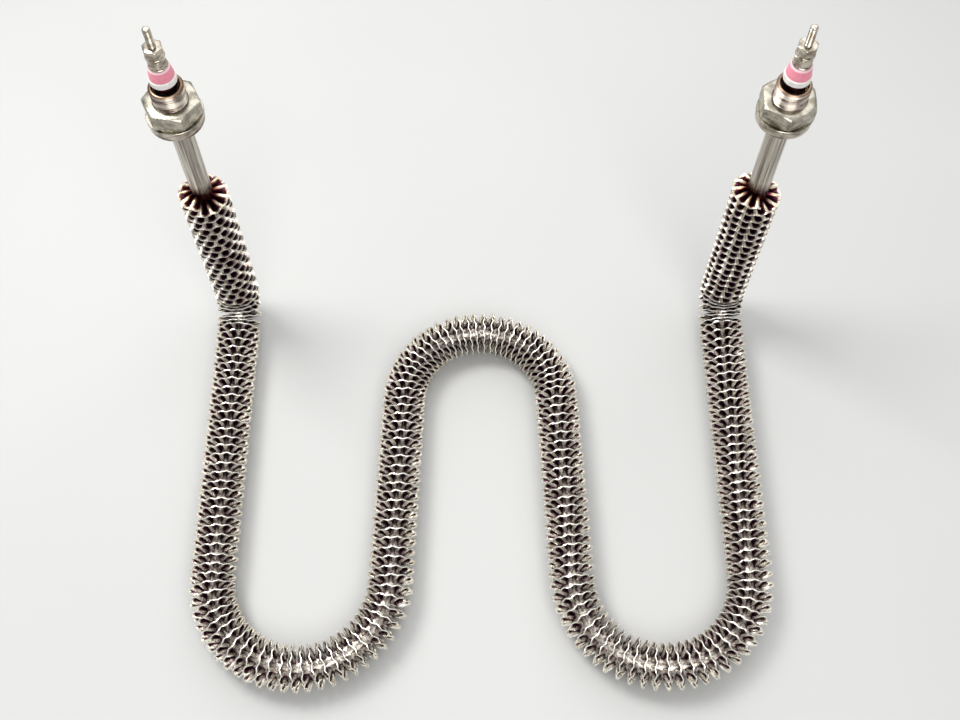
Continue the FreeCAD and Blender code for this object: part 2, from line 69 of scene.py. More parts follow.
# The crimped strip. Its shares run from the root on the sheath to the rim. On the legs the rim is
# squeezed in a little, over a run that begins at the elbow.
CRIMPS_FIRST = 11.5
CRIMPS_LAST = 12.0
STEPS_PER_CRIMP = 10
SHARES = (0, 0.25, 0.5, 0.74, 0.91, 1)
STRIP_THICKNESS = 0.5 * MM
ROOT_RADIUS = TUBE_RADIUS + 0.05 * MM
ROOT_WAVE = 2.5 * MM
RIM_WAVE = 0.5 * MM
WAVE_FALL = 1.6
ROOT_CURL = 0.35
LEG_SQUEEZE = 0.5 * MM
SQUEEZE_RUN = 50 * MM
TURN_NUDGE = 0.0005

# How far the winding strays: its reach, a seed, and its waves in each turn.
CRIMP_SLIP = (0.04, 11, (0.23, 0.61))
WAVE_CHANGE = (0.12, 3, (0.31, 0.77, 1.7))
RIM_LEAN = (0.6 * MM, 7, (0.21, 0.53, 1.13))

# Where the painted highlight of the strip begins and is whole, by the swell of a fold and by its share.
# Below it the strip is left dark as painted shade.
CREST_HIGHLIGHT = (0.05, 0.6)
ROOT_HIGHLIGHT = (-0.2, 0.5)
RIM_HIGHLIGHT = (0.66, 0.94)

# The risers are painted darker, as painted shade, and the last turns are burnt, at the root more than at
# the rim. The turns are counted from either end.
RISER_TURNS = (26, 16)
RISER_PAINTED_SHADE = 0.25
BURNT_TURNS = (1.6, 0.3)
RIM_UNBURNT = 0.55

# The heating wire, wound inside the sheath between the two cold pins.
COIL_SETBACK = 30 * MM
COIL_RADIUS = 1.6 * MM
COIL_PITCH = 1.1 * MM
COIL_STEPS = 8
WIRE_RADIUS = 0.28 * MM

# The fittings. The thread starts a little below the top of the nut, above a plain neck.
FITTING_THREAD = 18 * MM
FITTING_PITCH = 1.5 * MM
FITTING_THREAD_DEPTH = 0.9 * MM
FITTING_NECK_DEPTH = 0.6 * MM
FITTING_THREAD_START = 0.9 * MM
FITTING_BORE = 6.02 * MM
MOUTH_RADIUS = 7.39 * MM
MOUTH_DEPTH = 9 * MM
MOUTH_CHAMFER = 0.8 * MM
MOUTH_EASE = 0.1 * MM
COLLAR_RADIUS = 14.5 * MM
COLLAR_THICKNESS = 4 * MM
COLLAR_EASE = 0.4 * MM
MOUNT_WASHER_BORE = 9.25 * MM
MOUNT_NUT_FLATS = 27 * MM
MOUNT_NUT_BORE = 8.53 * MM

# The seal rings and the insulators. The rounding goes inwards and down from the top edge, in mm.
SEAL_BORE = 2.1 * MM
SEAL_SPIGOT = 5.1 * MM
SEAL_EASE = 0.5 * MM
INSULATOR_BORE = 1.88 * MM
INSULATOR_FOOT = 6.5 * MM
INSULATOR_HEAD = 5.6 * MM
FOOT_EASE = 0.2 * MM
HEAD_ROUNDING = ((0, 0.8), (0.25, 0.3), (0.65, 0.05), (0.85, 0))

# The studs. The rounding of the tip is a share of the radius and a share of the tip's length.
STUD_THREAD = 4 * MM
STUD_PITCH = 0.7 * MM
STUD_THREAD_DEPTH = 0.35 * MM
STUD_NECK_DEPTH = 0.23 * MM
STUD_THREAD_START = 0.6 * MM
STUD_TIP = 1 * MM
STUD_ROUNDING = ((0.93, 0.6), (0.75, 0.22), (0.4, 0))
STUD_WASHER_BORE = 2.2 * MM
STUD_NUT_FLATS = 9.2 * MM
STUD_NUT_BORE = 1.79 * MM
PIN_EASE = 0.2 * MM

# The nuts. Their shares are of the width across the flats, and their turns are in degrees.
NUT_FACE_SHARE = 0.95
NUT_EDGE_SHARE = 0.006
NUT_LEAD_SHARE = 0.03
NUT_BEVEL = math.radians(30)
NUT_SIXTH = (-30, -29, -28, -26, -20, -10, 0, 10, 20, 26, 28, 29)
NUT_TURNS = {
    "left_mounting_nut": 25.8,
    "right_mounting_nut": -4.1,
    "left_lower_terminal_nut": 21,
    "left_upper_terminal_nut": 19,
    "right_lower_terminal_nut": -21,
    "right_upper_terminal_nut": -19,
}

# Washers, and the step from a plain neck to a thread.
WASHER_EASE = 0.25 * MM
NECK_STEP = 0.1 * MM

# How many sides stand for a circle.
FITTING_SIDES = 90
ROUND_SIDES = 72
STUD_SIDES = 36

# The studio: a pale floor that fades into its surroundings, and soft boxes that look at one point.
# Each soft box has a place, a size and its watts.
FLOOR_SIZE = 12
FLOOR_CLOUDS = 3
FADE_START = 0.5
FADE_END = 1.6
STUDIO_COLOUR = "#e6e6e8"
STUDIO_LIGHT = 0.45
STUDIO_SEEN = 0.85
LIGHT_AIM = (0, 0, 0.05)
SOFT_BOXES = {
    "ceiling_box": ((0.1, 0.9, 1.3), 2.0, 16),
    "key_box": ((-0.55, 0.35, 1.1), 0.45, 9),
    "front_box": ((0.15, -0.75, 1.15), 0.8, 8),
}

# The photograph's viewpoint, a little right of square on and 62 degrees down. Its focal length and
# its width are in pixels.
VIEW_FOCUS = 1169.36
VIEW_WIDTH = 960
VIEW_AHEAD = (0.0032, 0.4684, -0.8835)
VIEW_ROLL = math.radians(0.125)
VIEW_BACK = 394.53 * MM
VIEW_ASIDE = -2.58 * MM
VIEW_HEIGHT = 663.97 * MM


# Small helpers.


def middle_of(node, axis):
    """The middle of a node of the frame along one axis."""
    low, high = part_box(node)
    return (low[axis] + high[axis]) / 2


def linear(hex_colour):
    """An sRGB hex colour as linear red, green, blue and alpha."""
    parts = [int(hex_colour[i:i + 2], 16) / 255 for i in (1, 3, 5)]
    return [part / 12.92 if part <= 0.04045 else ((part + 0.055) / 1.055) ** 2.4 for part in parts] + [1]


def stray(turns, reach, seed, beats):
    """A smooth uneven value between about -reach and reach, as a hand-fed winding machine gives."""
    dice = np.random.default_rng(seed)
    total = np.zeros_like(turns)
    for beat in beats:
        total += np.sin(2 * np.pi * (turns * beat + dice.random()))
    return reach * total / len(beats)


def new_piece(name, points, faces, material, sharp=40):
    """A mesh object, smooth except over edges sharper than an angle in degrees."""
    mesh = bpy.data.meshes.new(name)
    mesh.from_pydata(points, [], faces)
    mesh.polygons.foreach_set("use_smooth", [True] * len(mesh.polygons))
    mesh.set_sharp_from_angle(angle=math.radians(sharp))
    mesh.materials.append(material)
    piece = bpy.data.objects.new(name, mesh)
    bpy.context.scene.collection.objects.link(piece)
    return piece


def seat(piece, node):
    """Let a piece stand for a node of the frame."""
    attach(piece, "root")
    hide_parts(node)


SHEATH_LOW, SHEATH_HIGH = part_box("sheath")
SHEATH_TOP = SHEATH_HIGH.z
RISER_X = -middle_of("left_mounting_washer", 0)
RISER_Y = middle_of("left_seal_ring", 1)
BEND_X = RISER_X - RETURN_RADIUS
RETURN_Y = SHEATH_LOW.y + TUBE_RADIUS + RETURN_RADIUS


# The centreline of the sheath, as stretches that carry a frame along without twisting it.


def turned(vector, axis, angles):
    """A vector turned about an axis by each of an array of angles."""
    vector, axis = np.array(vector, float), np.array(axis, float)
    cos, sin = np.cos(angles)[:, None], np.sin(angles)[:, None]
    return vector * cos + np.cross(axis, vector) * sin + axis * (axis @ vector) * (1 - cos)


class Stretch:
    """A straight run, or a bend about an axis. It knows its place, direction and side at a distance."""

    def __init__(self, name, length, radius=None, axis=None):
        self.name, self.length, self.radius, self.axis = name, length, radius, axis
        self.turns = round(length / UNEVEN_PITCHES.get(name, STRIP_PITCH))

    def begin(self, place, ahead, side):
        """Start the stretch where the one before it ended."""
        self.place, self.ahead, self.side = place, ahead, side
        if self.radius:
            self.centre = place + self.radius * np.cross(self.axis, ahead)

    def at(self, distances):
        """Places, directions and sides at an array of distances from the start."""
        if not self.radius:
            count = len(distances)
            places = self.place + distances[:, None] * self.ahead
            return places, np.tile(self.ahead, (count, 1)), np.tile(self.side, (count, 1))
        angles = distances / self.radius
        places = self.centre + turned(self.place - self.centre, self.axis, angles)
        return places, turned(self.ahead, self.axis, angles), turned(self.side, self.axis, angles)


def make_stretches():
    """From the last fin of the left riser to the last fin of the right one."""
    rise = RISER_Y - RETURN_Y - TOP_SETBACK
    gap = math.hypot(BEND_X, rise)
    radii = RETURN_RADIUS + TOP_RADIUS
    slant = math.atan(BEND_X / rise) - math.asin(radii / gap)
    up, down = np.array((0.0, 0, 1)), np.array((0.0, 0, -1))
    left = np.array((-1.0, 0, 0))
    riser = FINNED_HEIGHT - ELBOW_RADIUS
    outer = RISER_Y - ELBOW_RADIUS - RETURN_Y
    half = [
        ("riser", riser, None, None),
        ("elbow", ELBOW_RADIUS * math.pi / 2, ELBOW_RADIUS, left),
        ("outer_leg", outer, None, None),
        ("return_bend", RETURN_RADIUS * (math.pi - slant), RETURN_RADIUS, up),
        ("inner_leg", math.sqrt(gap ** 2 - radii ** 2), None, None),
    ]
    stretches = [Stretch(f"left_{name}", length, radius, axis) for name, length, radius, axis in half]
    stretches.append(Stretch("top_bend", TOP_RADIUS * (math.pi - 2 * slant), TOP_RADIUS, down))
    for name, length, radius, axis in reversed(half):
        back = -axis if name == "elbow" else axis
        stretches.append(Stretch(f"right_{name}", length, radius, back))
    place = np.array((-RISER_X, RISER_Y, FIN_RADIUS + FINNED_HEIGHT))
    ahead, side = down, np.array((0.0, -1, 0))
    start = 0
    turn = 0
    for stretch in stretches:
        stretch.begin(place, ahead, side)
        stretch.start, stretch.first_turn = start, turn
        end = stretch.at(np.array((stretch.length,)))
        place, ahead, side = (part[0] for part in end)
        start += stretch.length
        turn += stretch.turns
    return stretches


STRETCHES = make_stretches()
ROUTE_LENGTH = STRETCHES[-1].start + STRETCHES[-1].length
ALL_TURNS = STRETCHES[-1].first_turn + STRETCHES[-1].turns


def along(distances):
    """Places on the centreline with the two directions square to it, for an array of distances."""
    flat = distances.ravel()
    places, ahead, side = (np.zeros((len(flat), 3)) for _ in range(3))
    for stretch in STRETCHES:
        first = stretch is STRETCHES[0]
        last = stretch is STRETCHES[-1]
        inside = (flat >= stretch.start) | first
        inside &= (flat < stretch.start + stretch.length) | last
        if inside.any():
            found = stretch.at(flat[inside] - stretch.start)
            places[inside], ahead[inside], side[inside] = found
    across = np.cross(ahead, side)
    shape = distances.shape + (3,)
    return places.reshape(shape), side.reshape(shape), across.reshape(shape)


# Materials.


def link(tree, given, socket):
    """Feed an input from another socket or from a node's first output, or set it to a value."""
    if isinstance(given, bpy.types.Node):
        given = given.outputs[0]
    if isinstance(given, bpy.types.NodeSocket):
        tree.links.new(given, socket)
    else:
        socket.default_value = given


def add(tree, kind, inputs=None, stops=(), **settings):
    """Add a node with its inputs, its settings, and a ramp's stops as positions and hex colours.

    A Mix of colours takes them at its inputs 6 and 7, and gives one at its output 2.
    """
    node = tree.nodes.new("ShaderNode" + kind)
    for name, setting in settings.items():
        setattr(node, name, setting)
    for socket, given in (inputs or {}).items():
        link(tree, given, node.inputs[socket])
    if stops:
        points = node.color_ramp.elements
        while len(points) < len(stops):
            points.new(0.5)
        for point, (position, colour) in zip(points, stops):
            point.position = position
            point.color = linear(colour)
    return node


def new_material(name):
    """An empty material, its shader and its object coordinates."""
    material = bpy.data.materials.new(name)
    material.use_nodes = True
    tree = material.node_tree
    shader = tree.nodes["Principled BSDF"]
    place = add(tree, "TexCoord").outputs["Object"]
    return material, tree, shader, place


def set_surface(tree, shader, colour, grain, smoothest, roughest, depth, strength=0.3):
    """Link the colour. The grain makes the surface smoother and rougher, and raises it a little."""
    link(tree, colour, shader.inputs["Base Color"])
    spread = {"From Min": 0.3, "From Max": 0.7, "To Min": smoothest, "To Max": roughest}
    rough = add(tree, "MapRange", {"Value": grain, **spread})
    link(tree, rough, shader.inputs["Roughness"])
    bump = add(tree, "Bump", {"Height": grain, "Strength": strength, "Distance": depth})
    link(tree, bump, shader.inputs["Normal"])


def crimped_strip():
    """Cold-rolled stainless strip, crimped between toothed rolls and wound on edge.

    The rim and the backs of the folds are painted bright cream, a painted highlight. The hollows between
    the folds are painted purple-brown, as painted shade, in patches about 7 mm wide, and the risers are
    painted darker, also as painted shade. The turns next to the bare ends are tinted straw, and
    red-brown at the root.
    """
    material, tree, shader, place = new_material("crimped_stainless_strip")
    # One number of painted light at each point: a painted highlight on the rim and the crests, painted
    # shade in the hollows.
    painted_sheen_and_shade = add(tree, "Attribute", attribute_name="painted_sheen_and_shade").outputs["Fac"]
    burning = add(tree, "Attribute", attribute_name="tinted").outputs["Fac"]
    patches = add(tree, "TexNoise", {"Vector": place, "Scale": 1 / (7 * MM), "Detail": 3})
    spread = {"From Min": 0.3, "From Max": 0.7, "To Min": -0.14, "To Max": 0.14}
    swing = add(tree, "MapRange", {"Value": patches, **spread})
    level = add(tree, "Math", {0: painted_sheen_and_shade, 1: swing}, operation="ADD")
    # From painted shade, dark purple-brown, up to a painted highlight, nearly white.
    shade_to_sheen_stops = [(0.05, "#3c0f30"), (0.4, "#664556"), (0.63, "#c2b8a9"), (0.8, "#fffbf0")]
    shade_to_sheen = add(tree, "ValToRGB", {"Fac": level}, shade_to_sheen_stops)
    burnt_stops = [(0.0, "#2e0d12"), (0.3, "#7c2f1c"), (0.6, "#d8bf92"), (0.9, "#fbf1d8")]
    tinted = add(tree, "ValToRGB", {"Fac": level}, burnt_stops)
    colour = add(tree, "Mix", {0: burning, 6: shade_to_sheen, 7: tinted}, data_type="RGBA").outputs[2]
    fine = add(tree, "TexNoise", {"Vector": place, "Scale": 1 / (0.7 * MM), "Detail": 4})
    set_surface(tree, shader, colour, fine, 0.2, 0.34, 0.08 * MM, 0.2)
    shader.inputs["Metallic"].default_value = 0.85
    return material


def drawn_sheath():
    """Seam-welded stainless tube, drawn to size. Satin and warm grey, with fine lines along it.

    The lines are 0.9 mm wide, coarser than the real ones, so that they show. The tube is dark
    maroon where it comes out of the fins, and painted dark maroon as painted shade where it goes into the
    mouth of a fitting.
    """
    material, tree, shader, place = new_material("drawn_stainless_tube")
    drawn_out = add(tree, "Mapping", {"Vector": place, "Scale": (1, 1, 0.02)})
    lines = add(tree, "TexNoise", {"Vector": drawn_out, "Scale": 1 / (0.9 * MM), "Detail": 3})
    satin_stops = [(0.32, "#7f7573"), (0.5, "#b0aaa0"), (0.68, "#ded9cc")]
    satin = add(tree, "ValToRGB", {"Fac": lines}, satin_stops)
    maroon = add(tree, "ValToRGB", {"Fac": lines}, [(0.3, "#260b12"), (0.7, "#4b1f20")])

    # How dark maroon the tube is at a height. The edges of the dark bands waver by 2 mm.
    height = add(tree, "SeparateXYZ", {0: place}).outputs["Z"]
    patches = add(tree, "TexNoise", {"Vector": place, "Scale": 1 / (4 * MM), "Detail": 3})
    spread = {"From Min": 0.3, "From Max": 0.7, "To Min": -2 * MM, "To Max": 2 * MM}
    waver = add(tree, "MapRange", {"Value": patches, **spread})
    wavering = add(tree, "Math", {0: waver, 1: height}, operation="ADD")
    fin_end = FIN_RADIUS + FINNED_HEIGHT
    fading = {"From Min": fin_end + 4 * MM, "From Max": fin_end + 12 * MM, "To Min": 1, "To Max": 0}
    above = add(tree, "MapRange", {"Value": wavering, **fading})
    rising = {"From Min": fin_end - 16 * MM, "From Max": fin_end - 5 * MM}
    below = add(tree, "MapRange", {"Value": wavering, **rising})
    foot = add(tree, "Math", {0: above, 1: below}, operation="MULTIPLY")
    # Painted shade, dark maroon, where the tube goes into the mouth of the fitting.
    rising = {"From Min": SHEATH_TOP - 9 * MM, "From Max": SHEATH_TOP - 3 * MM}
    neck = add(tree, "MapRange", {"Value": wavering, **rising})
    tinted = add(tree, "Math", {0: foot, 1: neck}, operation="MAXIMUM")
    colour = add(tree, "Mix", {0: tinted, 6: satin, 7: maroon}, data_type="RGBA").outputs[2]
    set_surface(tree, shader, colour, lines, 0.26, 0.4, 0.04 * MM, 0.2)
    shader.inputs["Metallic"].default_value = 1
    return material


def machined_steel(name, dark, light, smooth):
    """Bar stock that was turned and milled. Bright and satin, with faint level marks and grime.

    The marks are 0.35 mm wide and the clouds of grime 5 mm.
    """
    material, tree, shader, place = new_material(name)
    grime = add(tree, "TexNoise", {"Vector": place, "Scale": 1 / (5 * MM), "Detail": 3})
    colour = add(tree, "ValToRGB", {"Fac": grime}, [(0.36, dark), (0.6, light)])
    level = add(tree, "Mapping", {"Vector": place, "Scale": (0.08, 0.08, 1)})
    marks = add(tree, "TexNoise", {"Vector": level, "Scale": 1 / (0.35 * MM), "Detail": 2})
    set_surface(tree, shader, colour, marks, smooth, smooth + 0.12, 0.03 * MM, 0.08)
    shader.inputs["Metallic"].default_value = 1
    return material


def fitting_thread():
    """The turned bushing. Bands of grey-brown grime and painted shade, with pale bands of painted
    highlight, lie along its thread, and the mouth is copper-brown.

    The bands are as wide as two turns of the thread, because single turns are too fine to show.
    """
    material, tree, shader, place = new_material("turned_stainless_thread")
    level = add(tree, "Mapping", {"Vector": place, "Scale": (0.3, 0.3, 1)})
    bands = add(tree, "TexNoise", {"Vector": level, "Scale": 1 / (2 * FITTING_PITCH), "Detail": 4})
    # Dark bands are grime and painted shade, and pale ones a painted highlight, standing in for the turns
    # of the thread.
    steel_stops = [(0.38, "#6a5e55"), (0.5, "#9e9388"), (0.62, "#cbc2b5")]
    steel = add(tree, "ValToRGB", {"Fac": bands}, steel_stops)
    copper = add(tree, "ValToRGB", {"Fac": bands}, [(0.3, "#5b3f30"), (0.7, "#967a60")])
    height = add(tree, "SeparateXYZ", {0: place}).outputs["Z"]
    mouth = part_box("left_threaded_bushing")[1].z
    rising = {"From Min": mouth - 1.3 * MM, "From Max": mouth - 0.4 * MM, "To Max": 0.85}
    near = add(tree, "MapRange", {"Value": height, **rising})
    colour = add(tree, "Mix", {0: near, 6: steel, 7: copper}, data_type="RGBA").outputs[2]
    set_surface(tree, shader, colour, bands, 0.22, 0.36, 0.03 * MM, 0.1)
    shader.inputs["Metallic"].default_value = 1
    return material


def pink_ceramic():
    """Coloured steatite, fired and lightly glazed. Rose pink, with a pale painted highlight round the top
    edge.
    """
    material, tree, shader, place = new_material("pink_steatite_ceramic")
    mottle = add(tree, "TexNoise", {"Vector": place, "Scale": 1 / (1.5 * MM), "Detail": 5})
    pink = add(tree, "ValToRGB", {"Fac": mottle}, [(0.3, "#e8879a"), (0.7, "#f198a9")])
    height = add(tree, "SeparateXYZ", {0: place}).outputs["Z"]
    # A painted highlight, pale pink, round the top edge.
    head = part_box("left_insulator")[1].z
    rising = {"From Min": head - 1.1 * MM, "From Max": head - 0.7 * MM, "To Max": 0.8}
    painted_highlight = add(tree, "MapRange", {"Value": height, **rising})
    pale = linear("#f6d5dc")
    colour = add(tree, "Mix", {0: painted_highlight, 6: pink, 7: pale}, data_type="RGBA").outputs[2]
    set_surface(tree, shader, colour, mottle, 0.25, 0.4, 0.04 * MM)
    return material


def plain_grained(name, dark, light, grain, roughness, depth):
    """A matt solid such as rubber or packed powder, mottled at the size of its grain."""
    material, tree, shader, place = new_material(name)
    mottle = add(tree, "TexNoise", {"Vector": place, "Scale": 1 / grain, "Detail": 5})
    colour = add(tree, "ValToRGB", {"Fac": mottle}, [(0.3, dark), (0.7, light)])
    set_surface(tree, shader, colour, mottle, roughness, roughness + 0.1, depth)
    return material


STRIP = crimped_strip()
SHEATH = drawn_sheath()
THREAD = fitting_thread()
FITTING = machined_steel("milled_stainless_bar", "#878175", "#c0bbac", 0.2)
TERMINAL = machined_steel("nickel_plated_steel", "#8b8072", "#c9c2b3", 0.14)
RUBBER = plain_grained("white_silicone_rubber", "#e4e0da", "#f6f3ee", 2 * MM, 0.4, 0.05 * MM)
CERAMIC = pink_ceramic()
POWDER = plain_grained("packed_magnesia", "#cfcbc2", "#e2dfd8", 0.5 * MM, 0.85, 0.1 * MM)
WIRE = machined_steel("oxidised_resistance_wire", "#5d5650", "#7d746b", 0.35)


# The crimped strip, one mesh for each stretch.


def step_up(values, low, high):
    """A smooth climb from 0 to 1 between two values."""
    rise = np.clip((values - low) / (high - low), 0, 1)
    return rise * rise * (3 - 2 * rise)


def crimp_phase(turn):
    """Where the crimping rolls stand at a turn of the strip. They slip a little from turn to turn."""
    gain = (CRIMPS_LAST - CRIMPS_FIRST) / ALL_TURNS
    return 2 * np.pi * (CRIMPS_FIRST * turn + gain * turn ** 2 / 2 + stray(turn, *CRIMP_SLIP))


def fold(turn):
    """How far the strip is folded to either side. The folds are narrower than the gaps between them."""
    swing = np.sin(crimp_phase(turn))
    return swing * np.abs(swing)


def strip_surface(turns, shares):
    """Points on the middle of the strip, for turns from its start and shares from root to rim."""
    turn, share = np.meshgrid(turns, shares, indexing="ij")
    starts = [stretch.first_turn for stretch in STRETCHES] + [ALL_TURNS]
    distances = [stretch.start for stretch in STRETCHES] + [ROUTE_LENGTH]
    wave = RIM_WAVE + (ROOT_WAVE - RIM_WAVE) * (1 - share ** WAVE_FALL)
    wave = wave * (1 + stray(turn, *WAVE_CHANGE))
    middle = np.interp(turn, starts, distances)
    shift = middle + wave * fold(turn) + share * stray(turn, *RIM_LEAN)
    curl = ROOT_CURL * (1 - share) * np.sin(2 * crimp_phase(turn)) / CRIMPS_FIRST
    angle = 2 * np.pi * turn - curl
    from_end = np.minimum(middle, ROUTE_LENGTH - middle)
    rim = FIN_RADIUS - LEG_SQUEEZE * step_up(from_end, FINNED_HEIGHT, FINNED_HEIGHT + SQUEEZE_RUN)
    reach = ROOT_RADIUS + (rim - ROOT_RADIUS) * share
    places, side, across = along(shift)
    ring = np.cos(angle)[..., None] * side + np.sin(angle)[..., None] * across
    return places + reach[..., None] * ring


def loop_faces(rows, count, closed_rows=False):
    """Quads over rows of points, each row a closed loop of count points."""
    index = np.arange(rows * count).reshape(rows, count)
    if closed_rows:
        index = np.vstack((index, index[:1]))
    ahead = np.roll(index, -1, axis=1)
    return np.stack((index[:-1], ahead[:-1], ahead[1:], index[1:]), axis=-1).reshape(-1, 4).tolist()


def cut_ends(last_row, width):
    """Quads that close the two ends of the strip, across its thickness."""
    faces = []
    for row, flip in ((0, False), (last_row, True)):
        near = row * 2 * width
        far = near + 2 * width - 1
        for step in range(width - 1):
            quad = [near + step, near + step + 1, far - step - 1, far - step]
            faces.append(quad[::-1] if flip else quad)
    return faces


def paint(piece, name, values):
    """Keep one number for each point of a piece, for its material."""
    layer = piece.data.attributes.new(name, "FLOAT", "POINT")
    layer.data.foreach_set("value", np.ravel(values).astype(np.float32))


def wound_strip(stretch):
    """A closed mesh of the strip on one stretch."""
    steps = round(stretch.turns * CRIMPS_FIRST * STEPS_PER_CRIMP)
    turns = np.linspace(stretch.first_turn, stretch.first_turn + stretch.turns, steps + 1)
    shares = np.array(SHARES)
    width = len(shares)
    middle = strip_surface(turns, shares)
    forwards = strip_surface(turns + TURN_NUDGE, shares) - strip_surface(turns - TURN_NUDGE, shares)
    outwards = middle[:, -1:] - middle[:, :1]
    normal = np.cross(forwards, outwards)
    normal /= np.linalg.norm(normal, axis=2, keepdims=True)
    half = normal * STRIP_THICKNESS / 2
    loop = np.concatenate((middle + half, (middle - half)[:, ::-1]), axis=1)
    faces = [quad[::-1] for quad in loop_faces(steps + 1, 2 * width)]
    faces += cut_ends(steps, width)
    piece = new_piece(f"{stretch.name}_strip", loop.reshape(-1, 3).tolist(), faces, STRIP, sharp=65)

    # The backs of the folds and the whole rim are painted lighter, as a painted highlight. The hollows
    # are not, and stay dark as painted shade.
    crest = fold(turns)[:, None] * np.ones(width)
    facing = crest if np.sum(half[0, 0] * stretch.ahead) > 0 else -crest
    share = np.concatenate((shares, shares[::-1]))[None]
    bulge = np.concatenate((facing, -facing), axis=1)
    crest_highlight = step_up(bulge, *CREST_HIGHLIGHT) * step_up(share, *ROOT_HIGHLIGHT)
    from_end = np.minimum(turns, ALL_TURNS - turns)[:, None]
    painted_sheen_and_shade = np.maximum(crest_highlight, step_up(share, *RIM_HIGHLIGHT))
    # The risers are painted darker here, as painted shade.
    paint(piece, "painted_sheen_and_shade", painted_sheen_and_shade - RISER_PAINTED_SHADE * step_up(from_end, *RISER_TURNS))
    paint(piece, "tinted", step_up(from_end, *BURNT_TURNS) * (1 - RIM_UNBURNT * share))
    seat(piece, f"{stretch.name}_fins")


for stretch in STRETCHES:
    wound_strip(stretch)


# The heating wire.


def heating_coil():
    """The wound wire from cold pin to cold pin, square in section because it is so thin."""
    turns = (ROUTE_LENGTH - 2 * COIL_SETBACK) / COIL_PITCH
    steps = round(turns * COIL_STEPS)
    angle = np.linspace(0, 2 * np.pi * turns, steps + 1)
    places, side, across = along(COIL_SETBACK + angle / (2 * np.pi) * COIL_PITCH)
    outwards = np.cos(angle)[:, None] * side + np.sin(angle)[:, None] * across
    ahead = np.cross(side, across)
    corners = np.radians((45, 135, 225, 315))[None, :, None]
    spokes = np.cos(corners) * outwards[:, None] + np.sin(corners) * ahead[:, None]
    wire = (places + COIL_RADIUS * outwards)[:, None] + WIRE_RADIUS * spokes
    faces = loop_faces(steps + 1, 4)
    last = steps * 4
    faces += [[3, 2, 1, 0], [last, last + 1, last + 2, last + 3]]
    piece = new_piece("wound_resistance_wire", wire.reshape(-1, 3).tolist(), faces, WIRE, sharp=100)
    seat(piece, "resistance_coil")


heating_coil()


# The turned and milled pieces. Each is a set of rows of points round its own upright axis.


def around(count):
    """Evenly spaced angles round a circle."""
    return np.linspace(0, 2 * np.pi, count, endpoint=False)


def spun(node, rows, angles, material, solid=False):
    """A piece from rows of a radius and a height, each a number or one number for every angle."""
    low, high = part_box(node)
    middle = (low + high) / 2
    points = []
    for radius, height in rows:
        x = middle.x + radius * np.cos(angles)
        y = middle.y + radius * np.sin(angles)
        points.append(np.stack((x, y, height + np.zeros_like(angles)), axis=1))
    count = len(angles)
    faces = loop_faces(len(rows), count, closed_rows=not solid)
    if solid:
        top = (len(rows) - 1) * count
        faces += [list(range(count))[::-1], list(range(top, top + count))]
    piece = new_piece(f"detailed_{node}", np.concatenate(points).tolist(), faces, material)
    seat(piece, node)


def eased(corners, ease):
    """Rows through the corners of a closed outline, each corner broken by a small flat."""
    rows = []
    for index, (radius, height) in enumerate(corners):
        before = corners[index - 1]
        after = corners[(index + 1) % len(corners)]
        for other in (before, after):
            reach = math.hypot(other[0] - radius, other[1] - height)
            share = min(ease / reach, 0.3)
            rows.append((radius + (other[0] - radius) * share, height + (other[1] - height) * share))
    return rows


def thread_rows(angles, major, depth, pitch, bottom, top, steps=9):
    """Rows over a right-hand thread from bottom to top, fading out over its last half turn.

    The crests and the roots are small flats.
    """
    count = round((top - bottom) / pitch * steps)
    rows = []
    for height in np.linspace(bottom, top, count + 1):
        place = height / pitch - angles / (2 * np.pi)
        tooth = np.abs(2 * (place % 1) - 1)
        groove = np.clip(tooth * 1.3 - 0.15, 0, 1)
        fade = min(1, (top - height) / (pitch / 2))
        rows.append((major - depth * groove * fade, height))
    return rows


def threaded_bushing(name):
    """A collar, a fine thread and a chamfered mouth round the sheath."""
    node = f"{name}_threaded_bushing"
    low, high = (corner.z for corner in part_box(node))
    foot = low + COLLAR_THICKNESS
    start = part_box(f"{name}_mounting_nut")[1].z - FITTING_THREAD_START
    end = high - MOUTH_CHAMFER
    thread = FITTING_THREAD / 2
    neck = thread - FITTING_NECK_DEPTH
    angles = around(FITTING_SIDES)
    rows = eased([(FITTING_BORE, low), (COLLAR_RADIUS, low), (COLLAR_RADIUS, foot)], COLLAR_EASE)[1:-1]
    rows += [(COLLAR_RADIUS - COLLAR_EASE, foot), (neck, foot), (neck, start - NECK_STEP)]
    rows += thread_rows(angles, thread, FITTING_THREAD_DEPTH, FITTING_PITCH, start, end)
    rows += [(thread - MOUTH_CHAMFER * 0.9, high - 0.05 * MM), (thread - MOUTH_CHAMFER, high)]
    rows += [(MOUTH_RADIUS + MOUTH_EASE, high), (MOUTH_RADIUS, high - MOUTH_EASE)]
    rows += [(MOUTH_RADIUS, high - MOUTH_DEPTH), (FITTING_BORE, high - MOUTH_DEPTH)]
    spun(node, rows, angles, THREAD)


